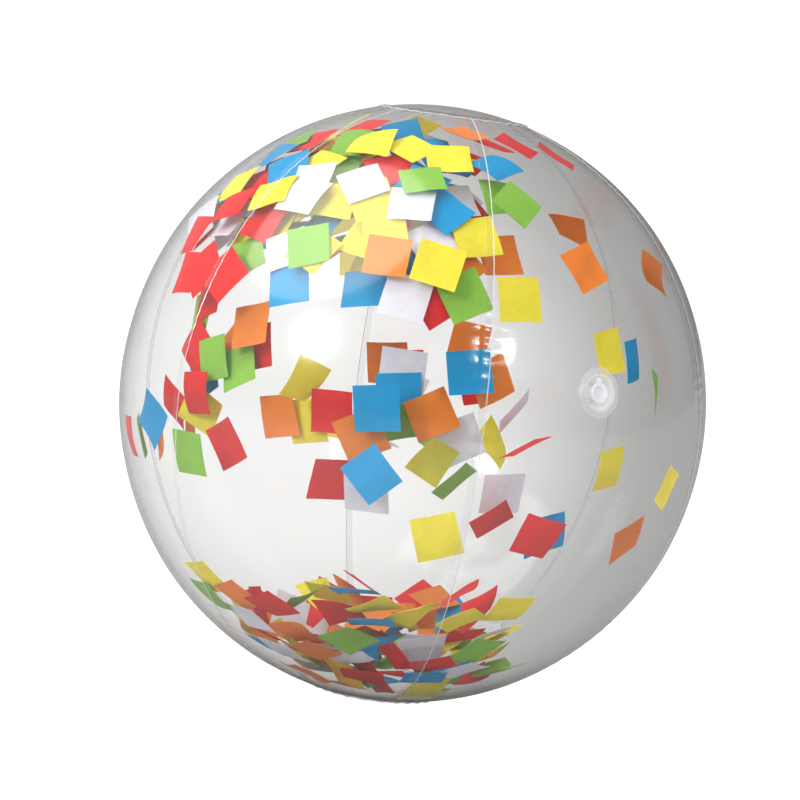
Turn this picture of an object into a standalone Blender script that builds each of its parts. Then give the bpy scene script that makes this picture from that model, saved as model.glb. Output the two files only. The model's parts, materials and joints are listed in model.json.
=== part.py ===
"""Inflatable beach ball of clear film, with paper squares loose inside it.

Frame: metres, origin at the ball's centre, +Z up along the axis through the two end caps. The valve is on the
-Y side, above the equator.
A depth is measured inwards from the outside of the film. A heading is an angle about +Z, seen from above,
counted anticlockwise from the valve.
"""

from math import asin, cos, pi, radians, sin

import bmesh
import bpy
from mathutils import Matrix, Vector

MM = 0.001

# Ball
EQUATOR_RADIUS = 175.0 * MM
POLE_RADIUS = 178.5 * MM
FILM = 0.25 * MM
GORES = 6
LAP_WIDTH = 4.5 * MM
LAP_RAMP = 1.5 * MM
CLEARANCE = 0.3 * MM
CAP_RADIUS = 45.0 * MM
CAP_FLAT_RADIUS = 14.0 * MM
SIDE_COLUMNS = 3
ROWS_ABOVE_VALVE = 9
ROWS_BELOW_VALVE = 12

# Valve: its latitude, how far its gore's middle lies anticlockwise of it, and its sizes
VALVE_LATITUDE = radians(12.3)
VALVE_ASIDE = radians(6.4)
STEM_BORE_RADIUS = 3.7 * MM
STEM_WALL = 1.0 * MM
STEM_LENGTH = 12.0 * MM
STEM_LIP = 0.4 * MM
STEM_LIP_DEPTH = 0.8 * MM
PLUG_CAP_OVERHANG = 0.8 * MM
PLUG_CAP_THICKNESS = 1.2 * MM
PLUG_CAP_PROUD = 0.2 * MM
PLUG_CAP_DISH = 0.3 * MM
PLUG_SHANK_LENGTH = 3.9 * MM
PLUG_TAPER = 0.5 * MM
PLUG_WALL = 0.8 * MM
STRAP_REACH = 2.1 * MM
STRAP_WIDTH = 3.0 * MM
STRAP_THICKNESS = 0.6 * MM
STRAP_EYE_RADIUS = 0.6 * MM
LUG_HEIGHT = 1.7 * MM
FLAP_THICKNESS = 0.5 * MM
SLEEVE_WALL = 0.4 * MM
SLEEVE_LENGTH = 10.0 * MM
SLEEVE_STEPS = 8
MOUTH_ROOM = 1.0 * MM
FILM_HOLE_MARGIN = 0.5 * MM
FLANGE_WELD_WIDTH = 3.6 * MM
FLANGE_THICKNESS = 0.8 * MM
VALVE_FACET_MARGIN = 1.0 * MM
VALVE_SEGMENTS = 32

# Confetti
SQUARE_SIDE = 25.0 * MM
SQUARE_THICKNESS = 0.25 * MM
SQUARE_CURL_RADIUS = 60.0 * MM
SQUARE_STRIPS = 4

FILM_COLOUR = (0.90, 0.93, 0.95)
VALVE_COLOUR = (0.86, 0.89, 0.91)
PAPER_COLOURS = {
    "yellow": (0.93, 0.80, 0.10),
    "orange": (0.90, 0.36, 0.07),
    "red": (0.78, 0.06, 0.05),
    "blue": (0.03, 0.33, 0.66),
    "green": (0.33, 0.62, 0.13),
    "white": (0.88, 0.88, 0.90),
}

# Each square: colour, heading and latitude of its centre in degrees, depth in mm, spin about its own
# normal and tilt off the film in degrees.
CROWN_SQUARES = (
    ("yellow", -70.6, 63, 6, 20, 6),
    ("yellow", -85.6, 43, 5, 30, -5),
    ("yellow", -66.6, 46, 12, 8, 4),
    ("green", -64.6, 33, 6, 25, 5),
    ("yellow", -52.6, 38, 14, -8, -6),
    ("yellow", -34.6, 33, 5, -10, 4),
    ("yellow", -25.6, 42, 13, 15, 6),
    ("white", -43.6, 46, 5, 5, -4),
    ("white", -40.6, 27, 13, -6, 5),
    ("blue", -43.6, 55, 15, -20, 5),
    ("blue", -50.6, 29, 22, 12, -8),
    ("blue", -67.6, 26, 14, 20, 5),
    ("green", -83.6, 30, 13, 40, 4),
    ("orange", 1.4, 36, 5, 25, 4),
    ("yellow", -14.6, 30, 16, 5, 9),
    ("blue", -15.6, 62, 8, 35, -8),
    ("red", 156.4, 50, 7, 30, 5),
    ("orange", 101.4, 42, 8, 10, -6),
    ("red", -98.6, 22.5, 7, 8, 6),
)
MIDDLE_SQUARES = (
    ("green", -80.6, 8, 32, 30, -5),
    ("green", -81.6, -10, 6, 5, 6),
    ("red", -79.6, -9, 30, 30, 6),
    ("orange", -71.6, -2, 50, 15, 8),
    ("blue", -43.6, 5, 34, 10, 5),
    ("blue", -42.6, -9, 30, 45, -6),
    ("orange", -30.6, 5, 50, 30, 5),
    ("red", -53.6, -14, 44, 80, 40),
    ("yellow", 17.4, -4, 30, 5, 4),
    ("orange", 17.4, -16, 6, 25, 5),
    ("red", -7.6, -15, 6, -12, 7),
    ("yellow", -27.6, -17, 8, 20, -5),
    ("white", 146.4, -4, 34, 20, 6),
    ("red", -99, 20.1, 27, 25, 5),
    ("orange", -78.2, 17.1, 27, 20, -4),
    ("yellow", 14.1, 21.6, 27, 10, 5),
)
CORE_SQUARES = (
    ("orange", -54, 25, 112, 10, 35),
    ("yellow", 46, -15, 120, 30, -50),
    ("white", 166, -30, 118, 20, 60),
)
# The pile lies in rings round the bottom cap: colours, latitude, depth, heading of the first square.
PILE_RINGS = (
    (("blue",), -90, 8, 0),
    (("yellow", "green", "red", "white", "orange"), -76, 5, 12),
    (("red", "blue"), -79, 15, -20),
)

# Radii that follow from the stem's bore, from the middle outwards
STEM_RADIUS = STEM_BORE_RADIUS + STEM_WALL
FLAP_RADIUS = STEM_BORE_RADIUS + STEM_WALL / 2
PLUG_CAP_RADIUS = STEM_RADIUS + PLUG_CAP_OVERHANG
STRAP_HINGE_OFFSET = PLUG_CAP_RADIUS + STRAP_REACH
MOUTH_RADIUS = STRAP_HINGE_OFFSET + STRAP_EYE_RADIUS + MOUTH_ROOM + SLEEVE_WALL + CLEARANCE
FILM_HOLE_RADIUS = MOUTH_RADIUS + FILM_HOLE_MARGIN
FLANGE_RADIUS = FILM_HOLE_RADIUS + FLANGE_WELD_WIDTH
VALVE_HALF_FACET = FLANGE_RADIUS + VALVE_FACET_MARGIN


def remove_all_objects():
    for found in list(bpy.data.objects):
        bpy.data.objects.remove(found)


def make_material(name, colour, roughness, alpha=1.0):
    """A painted or moulded surface of one colour."""
    material = bpy.data.materials.new(name)
    material.use_nodes = True
    shader = material.node_tree.nodes["Principled BSDF"]
    shader.inputs["Base Color"].default_value = (*colour, 1.0)
    shader.inputs["Roughness"].default_value = roughness
    shader.inputs["Metallic"].default_value = 0.0
    shader.inputs["Alpha"].default_value = alpha
    return material


def link_mesh(name, shape, material, smooth_angle=None):
    """Turn a bmesh into a named object, with its faces pointing out."""
    bmesh.ops.recalc_face_normals(shape, faces=shape.faces)
    mesh = bpy.data.meshes.new(name)
    shape.to_mesh(mesh)
    shape.free()
    if smooth_angle is not None:
        mesh.shade_smooth()
        mesh.set_sharp_from_angle(angle=radians(smooth_angle))
    made = bpy.data.objects.new(name, mesh)
    made.data.materials.append(material)
    bpy.context.collection.objects.link(made)
    return made


def make_pivot(name, place, parent=None):
    """An empty on a joint's axis, for the pieces that move about it."""
    pivot = bpy.data.objects.new(name, None)
    bpy.context.collection.objects.link(pivot)
    pivot.location = place
    put_under(pivot, parent)
    return pivot


def put_under(child, parent):
    """Parent a piece that is already in its place."""
    if parent is None:
        return
    bpy.context.view_layer.update()
    child.parent = parent
    child.matrix_parent_inverse = parent.matrix_world.inverted()


def quad(shape, a, b, c, d):
    """Two triangles, always split the same way, so that lapped films stay parallel."""
    shape.faces.new((a, b, c))
    shape.faces.new((a, c, d))


# ---- Film ----

LAP_STEP = FILM + CLEARANCE
VALVE_HALF_POLAR = asin(VALVE_HALF_FACET / POLE_RADIUS)
VALVE_TOP_POLAR = pi / 2 - VALVE_LATITUDE - VALVE_HALF_POLAR
VALVE_FOOT_POLAR = pi / 2 - VALVE_LATITUDE + VALVE_HALF_POLAR
VALVE_HALF_HEADING = asin(VALVE_HALF_FACET / (EQUATOR_RADIUS * sin(VALVE_TOP_POLAR)))
CAP_EDGE_POLAR = asin(CAP_RADIUS / EQUATOR_RADIUS)
GORE_END_POLAR = asin((CAP_RADIUS - LAP_WIDTH) / EQUATOR_RADIUS)
CAP_RAMP_POLAR = asin((CAP_RADIUS - LAP_WIDTH - LAP_RAMP) / EQUATOR_RADIUS)
CAP_FLAT_POLAR = asin(CAP_FLAT_RADIUS / EQUATOR_RADIUS)


def film_point(offset, polar, heading):
    """A point on the ball, offset outwards from the film's outside."""
    azimuth = heading - pi / 2
    ring = (EQUATOR_RADIUS + offset) * sin(polar)
    return Vector((ring * cos(azimuth), ring * sin(azimuth), (POLE_RADIUS + offset) * cos(polar)))


def spread(start, end, steps):
    """steps evenly spaced values from start up to, but not including, end."""
    return [start + (end - start) * i / steps for i in range(steps)]


def gore_polars():
    """Polar angles of a gore's rows, with one flat row at the height of the valve."""
    upper = spread(GORE_END_POLAR, VALVE_TOP_POLAR, ROWS_ABOVE_VALVE) + [VALVE_TOP_POLAR]
    lower = spread(VALVE_FOOT_POLAR, pi - GORE_END_POLAR, ROWS_BELOW_VALVE) + [pi - GORE_END_POLAR]
    return upper + lower


def gore_columns(polar):
    """(heading, lift) of a gore's columns at one row: the last two lie over the next gore's edge."""
    start = VALVE_ASIDE - pi / GORES
    end = VALVE_ASIDE + pi / GORES
    ring = EQUATOR_RADIUS * sin(polar)
    half_lap = LAP_WIDTH / 2 / ring
    ramp = LAP_RAMP / ring
    left = [start - half_lap] + spread(start + half_lap, -VALVE_HALF_HEADING, SIDE_COLUMNS)
    right = spread(VALVE_HALF_HEADING, end - half_lap - ramp, SIDE_COLUMNS)
    flush = left + [-VALVE_HALF_HEADING] + right + [end - half_lap - ramp]
    over = [end - half_lap, end + half_lap]
    return [(heading, 0.0) for heading in flush] + [(heading, LAP_STEP) for heading in over]


def make_gore(name, turn, material):
    """One curved gore of film, which laps over its neighbour on one side and under it on the other."""
    shape = bmesh.new()
    faces = []
    for skin in (0.0, -FILM):
        rows = [
            [
                shape.verts.new(film_point(lift + skin, polar, heading + turn))
                for heading, lift in gore_columns(polar)
            ]
            for polar in gore_polars()
        ]
        faces.append(rows)
        for upper, lower in zip(rows, rows[1:]):
            for i in range(len(upper) - 1):
                quad(shape, upper[i], upper[i + 1], lower[i + 1], lower[i])
    outer, inner = faces
    for edge in (0, -1):
        for i in range(len(outer[0]) - 1):
            quad(shape, outer[edge][i], outer[edge][i + 1], inner[edge][i + 1], inner[edge][i])
        for i in range(len(outer) - 1):
            quad(shape, outer[i][edge], outer[i + 1][edge], inner[i + 1][edge], inner[i][edge])
    return link_mesh(name, shape, material)


def cap_headings():
    """Headings of a cap's columns: those of every gore, so that the lapped facets are parallel."""
    headings = []
    for gore in range(GORES):
        turn = gore * 2 * pi / GORES
        headings += [heading + turn for heading, lift in gore_columns(CAP_EDGE_POLAR)[:-1]]
    return headings


def make_cap(name, side, material):
    """A round cap of film over the gores' ends, flat in the middle. side is 1 on top, -1 underneath."""
    half_way = (CAP_FLAT_POLAR + CAP_RAMP_POLAR) / 2
    rings = (
        (CAP_FLAT_POLAR, 0.0),
        (half_way, 0.0),
        (CAP_RAMP_POLAR, 0.0),
        (GORE_END_POLAR, 2 * LAP_STEP),
        (CAP_EDGE_POLAR, 2 * LAP_STEP),
    )
    shape = bmesh.new()
    skins = []
    for skin in (0.0, -FILM):
        rows = []
        for polar, lift in rings:
            points = [film_point(lift + skin, polar, heading) for heading in cap_headings()]
            rows.append([shape.verts.new((p.x, p.y, side * p.z)) for p in points])
        skins.append(rows)
        shape.faces.new(rows[0])
        for inner_ring, outer_ring in zip(rows, rows[1:]):
            for i, corner in enumerate(inner_ring):
                quad(shape, inner_ring[i - 1], corner, outer_ring[i], outer_ring[i - 1])
    outside, inside = skins[0][-1], skins[1][-1]
    for i, corner in enumerate(outside):
        quad(shape, outside[i - 1], corner, inside[i], inside[i - 1])
    return link_mesh(name, shape, material)


def cut_valve_hole(gore):
    """The round hole in the film that the valve looks out of."""
    shape = bmesh.new()
    bmesh.ops.create_cone(
        shape,
        cap_ends=True,
        segments=VALVE_SEGMENTS,
        radius1=FILM_HOLE_RADIUS,
        radius2=FILM_HOLE_RADIUS,
        depth=FLANGE_RADIUS,
        matrix=VALVE_FRAME,
    )
    cutter = link_mesh("valve_hole_cutter", shape, gore.data.materials[0])
    hide_guide(cutter)
    cut = gore.modifiers.new("valve_hole", "BOOLEAN")
    cut.operation = "DIFFERENCE"
    cut.solver = "EXACT"
    cut.object = cutter


def hide_guide(guide):
    guide.hide_render = True
    guide.display_type = "WIRE"


# ---- Valve ----



def valve_frame():
    """The middle of the flat facet behind the valve: X across it, Y up along it and Z out of it."""
    upper, lower = (
        (film_point(0.0, polar, -VALVE_HALF_HEADING) + film_point(0.0, polar, VALVE_HALF_HEADING)) / 2
        for polar in (VALVE_TOP_POLAR, VALVE_FOOT_POLAR)
    )
    across = Vector((1, 0, 0))
    up = (upper - lower).normalized()
    axes = Matrix((across, up, across.cross(up))).transposed()
    return Matrix.Translation((upper + lower) / 2) @ axes.to_4x4()


VALVE_FRAME = valve_frame()
FLANGE_DEPTH = FILM + CLEARANCE
PLUG_CAP_BACK = PLUG_CAP_THICKNESS - PLUG_CAP_PROUD
RIM_DEPTH = PLUG_CAP_BACK + CLEARANCE
STEM_END = RIM_DEPTH + STEM_LENGTH
FLAP_DEPTH = STEM_END + CLEARANCE
FLAP_HINGE_HEIGHT = FLAP_RADIUS - CLEARANCE


def valve_point(across, depth, height):
    """A point of the valve, from its distances across and up the facet and its depth behind it."""
    return VALVE_FRAME @ Vector((across, height, -depth))


def make_turned(name, profile, material):
    """A solid turned from (radius, depth) points, either a closed outline or a line between axis points."""
    shape = bmesh.new()
    turns = [i * 2 * pi / VALVE_SEGMENTS for i in range(VALVE_SEGMENTS)]
    rows = []
    for radius, depth in profile:
        around = turns if radius > 0 else turns[:1]
        rows.append(
            [shape.verts.new(valve_point(radius * cos(turn), depth, radius * sin(turn))) for turn in around]
        )
    pairs = list(zip(rows, rows[1:]))
    if profile[0][0] > 0:
        pairs.append((rows[-1], rows[0]))
    for first, second in pairs:
        for i in range(VALVE_SEGMENTS):
            corners = []
            for row, place in ((first, i - 1), (first, i), (second, i), (second, i - 1)):
                corner = row[place] if len(row) > 1 else row[0]
                if corner not in corners:
                    corners.append(corner)
            shape.faces.new(corners)
    return link_mesh(name, shape, material, smooth_angle=35)


def make_slab(name, outline, width, material):
    """A strip of constant width across the valve, from its outline of (height, depth) points."""
    shape = bmesh.new()
    sides = [
        [shape.verts.new(valve_point(across, depth, height)) for height, depth in outline]
        for across in (-width / 2, width / 2)
    ]
    for side in sides:
        shape.faces.new(side)
    for i in range(len(outline)):
        shape.faces.new((sides[0][i - 1], sides[0][i], sides[1][i], sides[1][i - 1]))
    return link_mesh(name, shape, material)


def make_flange(material):
    back = FLANGE_DEPTH + FLANGE_THICKNESS
    edge = FLANGE_THICKNESS / 2
    profile = (
        (MOUTH_RADIUS, FLANGE_DEPTH),
        (FLANGE_RADIUS, FLANGE_DEPTH),
        (FLANGE_RADIUS, FLANGE_DEPTH + edge),
        (FLANGE_RADIUS - edge, back),
        (MOUTH_RADIUS, back),
    )
    return make_turned("valve_flange", profile, material)


def make_sleeve(material):
    """The soft sleeve from the flange's mouth in to the stem's inner end."""
    top = MOUTH_RADIUS - CLEARANCE
    foot = STEM_RADIUS + CLEARANCE + SLEEVE_WALL
    outside = []
    for i in range(SLEEVE_STEPS + 1):
        share = i / SLEEVE_STEPS
        ease = share * share * (3 - 2 * share)
        outside.append((top + (foot - top) * ease, FLANGE_DEPTH + CLEARANCE + SLEEVE_LENGTH * share))
    inside = [(radius - SLEEVE_WALL, depth) for radius, depth in outside]
    return make_turned("valve_sleeve", outside + inside[::-1], material)


def make_stem(material):
    """The tube that is blown into, with a lip round its rim and a lug for the strap."""
    lip_radius = STEM_RADIUS + STEM_LIP
    profile = (
        (STEM_BORE_RADIUS, RIM_DEPTH),
        (lip_radius, RIM_DEPTH),
        (lip_radius, RIM_DEPTH + STEM_LIP_DEPTH),
        (STEM_RADIUS, RIM_DEPTH + STEM_LIP_DEPTH + STEM_LIP),
        (STEM_RADIUS, STEM_END),
        (STEM_BORE_RADIUS, STEM_END),
    )
    stem = make_turned("valve_stem", profile, material)
    wall_middle = (STEM_RADIUS + STEM_BORE_RADIUS) / 2
    lug_end = STRAP_HINGE_OFFSET - STRAP_EYE_RADIUS - CLEARANCE
    top = RIM_DEPTH + CLEARANCE
    outline = (
        (wall_middle, top),
        (lug_end, top),
        (lug_end, top + LUG_HEIGHT / 2),
        (wall_middle, top + LUG_HEIGHT),
    )
    lug = make_slab("strap_lug_guide", outline, STRAP_WIDTH, material)
    hide_guide(lug)
    join = stem.modifiers.new("strap_lug", "BOOLEAN")
    join.operation = "UNION"
    join.solver = "EXACT"
    join.object = lug
    return stem


def make_plug(material):
    """The stopper: a dished cap and a hollow tapered shank."""
    shank_top = STEM_BORE_RADIUS - CLEARANCE
    shank_end = PLUG_CAP_BACK + PLUG_SHANK_LENGTH
    edge = PLUG_CAP_THICKNESS / 4
    hollow_radius = shank_top - PLUG_TAPER - PLUG_WALL
    profile = (
        (0.0, PLUG_CAP_DISH - PLUG_CAP_PROUD),
        (shank_top - PLUG_CAP_DISH, PLUG_CAP_DISH - PLUG_CAP_PROUD),
        (shank_top, -PLUG_CAP_PROUD),
        (PLUG_CAP_RADIUS - edge, -PLUG_CAP_PROUD),
        (PLUG_CAP_RADIUS, edge - PLUG_CAP_PROUD),
        (PLUG_CAP_RADIUS, PLUG_CAP_BACK),
        (shank_top, PLUG_CAP_BACK),
        (shank_top - PLUG_TAPER, shank_end),
        (hollow_radius, shank_end),
        (hollow_radius, PLUG_CAP_BACK + PLUG_CAP_DISH),
        (0.0, PLUG_CAP_BACK + PLUG_CAP_DISH),
    )
    return make_turned("valve_plug", profile, material)


def make_strap(material):
    """The tether: a round eye at the stem's lug and a flat band to the plug's cap."""
    band_back = PLUG_CAP_BACK - CLEARANCE
    band_front = band_back - STRAP_THICKNESS
    near_end = PLUG_CAP_RADIUS + CLEARANCE
    steps = 8
    eye = []
    for i in range(steps + 1):
        turn = -pi / 2 + pi * i / steps
        height = STRAP_HINGE_OFFSET + STRAP_EYE_RADIUS * cos(turn)
        eye.append((height, RIM_DEPTH + STRAP_EYE_RADIUS * sin(turn)))
    inner_side = STRAP_HINGE_OFFSET - STRAP_THICKNESS / 2
    outline = [
        (near_end, band_front),
        (STRAP_HINGE_OFFSET, band_front),
        *eye,
        (inner_side - CLEARANCE, RIM_DEPTH + STRAP_EYE_RADIUS / 2),
        (inner_side - CLEARANCE, band_back),
        (near_end, band_back),
    ]
    return make_slab("valve_strap", outline, STRAP_WIDTH, material)


def make_flap(material):
    """The soft check flap that closes the stem's inner end."""
    profile = (
        (0.0, FLAP_DEPTH),
        (FLAP_RADIUS, FLAP_DEPTH),
        (FLAP_RADIUS, FLAP_DEPTH + FLAP_THICKNESS),
        (0.0, FLAP_DEPTH + FLAP_THICKNESS),
    )
    return make_turned("valve_flap", profile, material)


# ---- Confetti ----


def square_mesh():
    """One paper square, slightly curled about its own Y, with its normal along +Z."""
    shape = bmesh.new()
    half = SQUARE_SIDE / 2
    half_arc = half / SQUARE_CURL_RADIUS
    sections = []
    for i in range(SQUARE_STRIPS + 1):
        turn = -half_arc + 2 * half_arc * i / SQUARE_STRIPS
        section = []
        for radius in (SQUARE_CURL_RADIUS, SQUARE_CURL_RADIUS + SQUARE_THICKNESS):
            x = radius * sin(turn)
            z = radius * cos(turn) - SQUARE_CURL_RADIUS
            section += [shape.verts.new((x, -half, z)), shape.verts.new((x, half, z))]
        sections.append(section)
    for near, far in zip(sections, sections[1:]):
        for a, b in ((0, 1), (1, 3), (3, 2), (2, 0)):
            shape.faces.new((near[a], near[b], far[b], far[a]))
    for section in (sections[0], sections[-1]):
        shape.faces.new((section[0], section[1], section[3], section[2]))
    bmesh.ops.recalc_face_normals(shape, faces=shape.faces)
    mesh = bpy.data.meshes.new("confetti_square")
    shape.to_mesh(mesh)
    shape.free()
    return mesh


def square_pose(heading, latitude, depth, spin, tilt):
    """Where a square lies: facing out from the ball's centre, turned by its spin, then tilted."""
    azimuth = radians(heading) - pi / 2
    up = radians(latitude)
    outward = Vector((cos(up) * cos(azimuth), cos(up) * sin(azimuth), sin(up)))
    east = Vector((-sin(azimuth), cos(azimuth), 0.0))
    north = outward.cross(east)
    facing = Matrix((east, north, outward)).transposed().to_4x4()
    shell = film_point(-depth, pi / 2 - up, radians(heading))
    turned = Matrix.Rotation(radians(spin), 4, "Z") @ Matrix.Rotation(radians(tilt), 4, "X")
    return Matrix.Translation(shell) @ facing @ turned


def make_square(name, mesh, material, pose, pivot):
    square = bpy.data.objects.new(name, mesh.copy())
    bpy.context.collection.objects.link(square)
    square.data.materials.append(material)
    square.matrix_world = pose
    put_under(square, pivot)


def pile_squares():
    """The pile's squares as the other groups list them."""
    squares = []
    for colours, latitude, depth, first in PILE_RINGS:
        for i, colour in enumerate(colours):
            heading = first + 360 * i / len(colours)
            squares.append((colour, heading, latitude, depth, 45 * i, 0))
    return squares


def make_confetti(papers):
    """Every loose square, grouped under a pivot on the ball's axis for each group that swirls together."""
    mesh = square_mesh()
    groups = {
        "crown": CROWN_SQUARES,
        "middle": MIDDLE_SQUARES,
        "core": CORE_SQUARES,
        "pile": pile_squares(),
    }
    for group, squares in groups.items():
        pivot = make_pivot(f"{group}_pivot", (0, 0, 0))
        for number, (colour, heading, latitude, depth, spin, tilt) in enumerate(squares, start=1):
            pose = square_pose(heading, latitude, depth * MM, spin, tilt)
            make_square(f"{group}_{colour}_{number:02d}", mesh, papers[colour], pose, pivot)


def make_valve(material):
    """The valve's pieces, the moving ones under pivots on their joints."""
    make_flange(material)
    make_sleeve(material)
    stem = make_stem(material)
    stem_slide = make_pivot("stem_pivot", valve_point(0, 0, 0))
    put_under(stem, stem_slide)
    strap_hinge = make_pivot("plug_pivot", valve_point(0, RIM_DEPTH, STRAP_HINGE_OFFSET), stem_slide)
    put_under(make_plug(material), strap_hinge)
    put_under(make_strap(material), strap_hinge)
    flap_middle = FLAP_DEPTH + FLAP_THICKNESS / 2
    flap_hinge = make_pivot("flap_pivot", valve_point(0, flap_middle, FLAP_HINGE_HEIGHT), stem_slide)
    put_under(make_flap(material), flap_hinge)


def main():
    remove_all_objects()
    film = make_material("clear_film", FILM_COLOUR, 0.1, alpha=0.3)
    moulded = make_material("clear_valve", VALVE_COLOUR, 0.2, alpha=0.5)
    papers = {name: make_material(f"{name}_paper", colour, 0.8) for name, colour in PAPER_COLOURS.items()}
    for number in range(GORES):
        gore = make_gore(f"panel_{number + 1}", number * 2 * pi / GORES, film)
        if number == 0:
            cut_valve_hole(gore)
    make_cap("top_cap", 1, film)
    make_cap("bottom_cap", -1, film)
    make_valve(moulded)
    make_confetti(papers)


main()
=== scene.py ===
"""Looks of the clear beach ball: welded film, valve and loose paper squares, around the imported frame.

Frame: metres, origin at the ball's centre, +Z up through the two end caps, valve on the -Y side above the
equator. A heading is an angle about +Z, seen from above, counted anticlockwise from the valve. A depth runs
inwards from the film.
"""

import json
import random
from math import asin, cos, pi, radians, sin, tau

import bmesh
import bpy
import numpy as np
from mathutils import Matrix, Vector
from mathutils.bvhtree import BVHTree


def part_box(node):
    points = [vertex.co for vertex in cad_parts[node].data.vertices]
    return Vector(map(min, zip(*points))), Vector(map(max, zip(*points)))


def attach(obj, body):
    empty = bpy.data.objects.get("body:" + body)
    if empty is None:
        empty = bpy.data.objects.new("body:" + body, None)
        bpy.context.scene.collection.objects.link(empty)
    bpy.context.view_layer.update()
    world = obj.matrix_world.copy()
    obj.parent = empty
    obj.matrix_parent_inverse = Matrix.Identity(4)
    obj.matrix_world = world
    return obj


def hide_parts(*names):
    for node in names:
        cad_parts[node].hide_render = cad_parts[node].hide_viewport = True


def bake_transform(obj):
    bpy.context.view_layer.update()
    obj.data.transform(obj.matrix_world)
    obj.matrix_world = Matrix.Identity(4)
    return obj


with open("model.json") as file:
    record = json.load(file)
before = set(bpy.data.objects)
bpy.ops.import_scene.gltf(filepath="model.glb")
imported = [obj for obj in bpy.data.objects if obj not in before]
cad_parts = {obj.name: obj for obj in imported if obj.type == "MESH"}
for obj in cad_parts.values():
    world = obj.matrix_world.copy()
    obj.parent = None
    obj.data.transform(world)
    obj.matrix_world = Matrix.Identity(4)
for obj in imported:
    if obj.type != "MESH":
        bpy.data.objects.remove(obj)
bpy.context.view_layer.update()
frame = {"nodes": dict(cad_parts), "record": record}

MM = 0.001

# Ball, as in the CAD
EQUATOR_RADIUS = 175.0 * MM
POLE_RADIUS = 178.5 * MM
FILM = 0.25 * MM
GORES = 6
GORE_TURN = tau / GORES
LAP_WIDTH = 4.5 * MM
LAP_STEP = 0.32 * MM
LAP_RAMP = 1.5 * MM
CAP_RADIUS = 45.0 * MM
FLOOR_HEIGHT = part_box("bottom_cap")[0].z
CAP_EDGE_POLAR = asin(CAP_RADIUS / EQUATOR_RADIUS)
GORE_END_POLAR = asin((CAP_RADIUS - LAP_WIDTH) / EQUATOR_RADIUS)

# Film's relief: a bead along each weld's edge, puckers across it, a tuck along it and slow swells
BEAD_HEIGHT = 0.14 * MM
PUCKER_HEIGHT = 0.32 * MM
PUCKER_LENGTH = 7.6 * MM
PUCKER_REACH = 7.0 * MM
SEAM_TUCK = 0.55 * MM
TUCK_REACH = 10.0 * MM
SWELL_HEIGHT = 0.3 * MM
SWELL_TWO = 0.6
CAP_PUCKERS = 33
CAP_PUCKER_REACH = 6.0 * MM
PAST_CAP = 9.0 * MM

# Columns of a gore beside its seams, as distances from the seam, and the rows and columns of the rest
SEAM_OFFSETS = MM * np.array(
    [-2.25, -2.0, -1.75, -0.6, 0.8, 2.25, 3.75, 5.0, 6.5, 8.0, 10.0, 12.0, 14.5, 18.0]
)
GORE_ROWS = 236
GORE_MIDDLE_COLUMNS = 12
CAP_MIDDLE_RINGS = 20
CAP_EDGE_RINGS = MM * np.array([40.5, 41.5, 42.5, 43.5, 44.3, 44.65, 45.0])
CAP_BEAD_RING = 44.65 * MM
CAP_LAP_LIFT = 2 * LAP_STEP + 0.1 * MM
CAP_COLUMNS = 240
SHARP_ANGLE = 40
NEAR = 0.1 * MM

# Material slots of the film's meshes
FILM_SLOT, WELD_SLOT, BEAD_SLOT = range(3)

# Valve, as in the CAD
VALVE_LATITUDE = radians(12.3)
VALVE_ASIDE = radians(6.4)
VALVE_HALF_FACET = 15.0 * MM
FLANGE_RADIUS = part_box("valve_flange")[1].x
FILM_HOLE_RADIUS = 10.4 * MM
VALVE_FLAT_RADIUS = 15.0 * MM
VALVE_BLEND_RADIUS = 24.0 * MM
VALVE_SEGMENTS = 96

# Valve's mouldings: radii, depths behind the facet and heights above its middle, in mm
FLANGE_GROOVES = (12.9, 12.1, 11.3)
MOUTH_ROOM = 0.3
RIM_DEPTH = 1.3
STEM_LENGTH = 12.0
STEM_BORE = 3.7
STEM_OUTSIDE = 4.7
SLEEVE_START, SLEEVE_LENGTH, SLEEVE_END_RADIUS = 0.86, 9.98, 5.4
SLEEVE_WALL = 0.4
SLEEVE_FOLD = 0.12
SLEEVE_STEPS = 28
FLAP_RADIUS = 4.2
HINGE_HEIGHT = 7.6
HINGE_RADIUS = 0.6
STRAP_START = 5.8
STRAP_WIDTH = 2.9

# Clear plastics: haze face on and haze added at a glance, the haze's grey, the tint of what shows through,
# roughness, and depth of the surface's relief
FILM_LOOKS = {
    "clear_film_look": {
        "haze": 0.012,
        "grazing_haze": 0.80,
        "milk": 0.20,
        "tint": (0.955, 0.957, 0.958),
        "roughness": 0.12,
        "relief": 0.05 * MM,
    },
    "welded_film_look": {
        "haze": 0.01,
        "grazing_haze": 0.50,
        "milk": 0.24,
        "tint": (0.978, 0.98, 0.982),
        "roughness": 0.18,
        "relief": 0.2 * MM,
    },
    "weld_bead_look": {
        "haze": 0.45,
        "grazing_haze": 0.3,
        "milk": 0.6,
        "tint": (0.93, 0.94, 0.95),
        "roughness": 0.15,
        "relief": 0.1 * MM,
    },
    "clear_valve_look": {
        "haze": 0.27,
        "grazing_haze": 0.25,
        "milk": 0.92,
        "tint": (0.95, 0.96, 0.975),
        "roughness": 0.14,
        "relief": 0.1 * MM,
    },
}

# Gloss face on and its rise to the glancing angle, the share of light that comes through paper, and the
# noises' scales, in features per metre
GLOSS_FACE_ON = 0.04
GLOSS_RISE = 0.62
GLOSS_POWER = 8.0
HAZE_POWER = 9.0
PAPER_GLOW = 0.3
SMUDGE_SCALE, RELIEF_SCALE = 35.0, 160.0
FIBRE_SCALE, DYE_SCALE = 420.0, 60.0

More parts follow.
